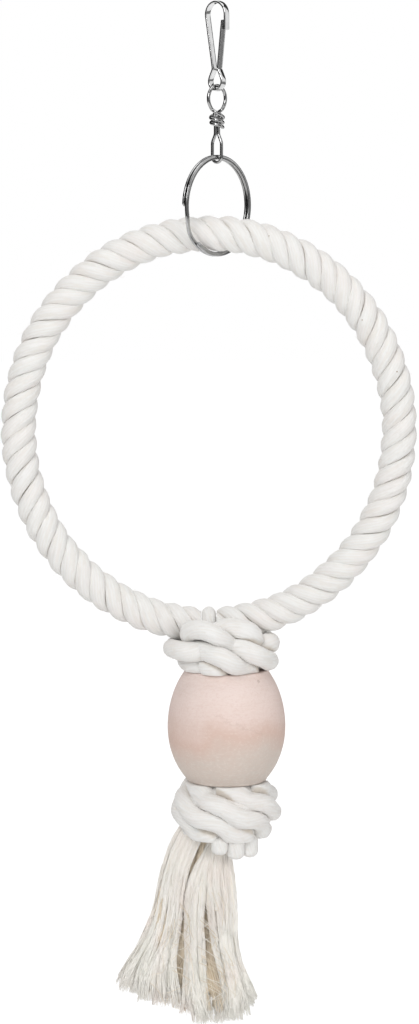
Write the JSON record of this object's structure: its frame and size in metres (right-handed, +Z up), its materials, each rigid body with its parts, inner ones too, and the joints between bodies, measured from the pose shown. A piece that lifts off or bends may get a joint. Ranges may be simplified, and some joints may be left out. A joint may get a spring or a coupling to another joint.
{
  "type": "bird swing",
  "caption": "Hanging bird swing: a ring of laid cotton rope on a snap hook, wire swivel and split ring, with a wooden bead and a frayed tassel knotted below it.",
  "frame": {"origin": "inner top of the snap hook, where it sits on a cage bar", "axes": "+Z up; -Y is the front, towards the picture's camera; the rope ring lies in the XZ plane"},
  "size_m": [0.1868, 0.0535, 0.4603],
  "materials": {
    "nickel": "bright nickel plating on steel wire and strip",
    "core_steel": "plain drawn wire",
    "cotton": "natural white cotton rope",
    "yarn": "loose cream cotton yarn",
    "wood": "bare pale hardwood, fine sanded"
  },
  "bodies": {
    "snap_hook": {"snap_hook_body": "nickel"},
    "gate": {"snap_hook_gate": "nickel"},
    "swivel_eye": {"swivel_eye": "nickel"},
    "swivel_shank": {"swivel_shank": "nickel"},
    "split_ring": {"split_ring": "nickel"},
    "rope_ring": {"ring_rope": "cotton", "ring_core_wire": "core_steel"},
    "drop": {"drop_rope": "cotton", "upper_knot_hitch": "cotton", "upper_knot_strand_1": "cotton", "upper_knot_strand_2": "cotton", "upper_knot_strand_3": "cotton", "lower_knot_core": "cotton", "lower_knot_strand_1": "cotton", "lower_knot_strand_2": "cotton", "lower_knot_strand_3": "cotton", "lower_knot_strand_4": "cotton", "lower_knot_strand_5": "cotton", "lower_knot_strand_6": "cotton", "cut_end_1": "cotton", "cut_end_2": "cotton", "cut_end_3": "cotton"},
    "bead": {"wooden_bead": "wood"},
    "tassel": {"tassel_root": "yarn", "tassel_lock_1": "yarn", "tassel_lock_2": "yarn", "tassel_lock_3": "yarn", "tassel_lock_4": "yarn", "tassel_lock_5": "yarn", "tassel_lock_6": "yarn", "tassel_lock_7": "yarn", "tassel_lock_8": "yarn"}
  },
  "joints": [
    {"name": "gate_hinge", "type": "hinge", "parent": "snap_hook", "child": "gate", "pos_m": [0.00108, -0.00097, -0.0289], "axis": [-0.6691, -0.7431, 0], "range_deg": [0, 14], "stiffness_Nm_per_rad": 0.15},
    {"name": "eye_swing", "type": "hinge", "parent": "snap_hook", "child": "swivel_eye", "pos_m": [0, 0, -0.03435], "axis": [0.6691, 0.7431, 0], "range_deg": [-35, 35]},
    {"name": "swivel_turn", "type": "hinge", "parent": "swivel_eye", "child": "swivel_shank", "pos_m": [0, 0, -0.04875], "axis": [0, 0, 1], "continuous": true},
    {"name": "split_ring_swing", "type": "hinge", "parent": "swivel_shank", "child": "split_ring", "pos_m": [0, 0, -0.0677], "axis": [0.7638, -0.6455, 0], "range_deg": [-20, 20]},
    {"name": "rope_ring_swing", "type": "hinge", "parent": "split_ring", "child": "rope_ring", "pos_m": [0, 0, -0.1014], "axis": [1, 0, 0], "range_deg": [-30, 30]},
    {"name": "drop_swing", "type": "hinge", "parent": "rope_ring", "child": "drop", "pos_m": [-0.0036, 0, -0.2774], "axis": [1, 0, 0], "range_deg": [-20, 20]},
    {"name": "bead_turn", "type": "hinge", "parent": "drop", "child": "bead", "pos_m": [0.0044, 0, -0.3241], "axis": [0, 0, 1], "continuous": true},
    {"name": "tassel_sway", "type": "hinge", "parent": "drop", "child": "tassel", "pos_m": [-0.006, 0, -0.3743], "axis": [0, 1, 0], "range_deg": [-8, 8], "stiffness_Nm_per_rad": 0.05, "springref_deg": 1.72}
  ]
}
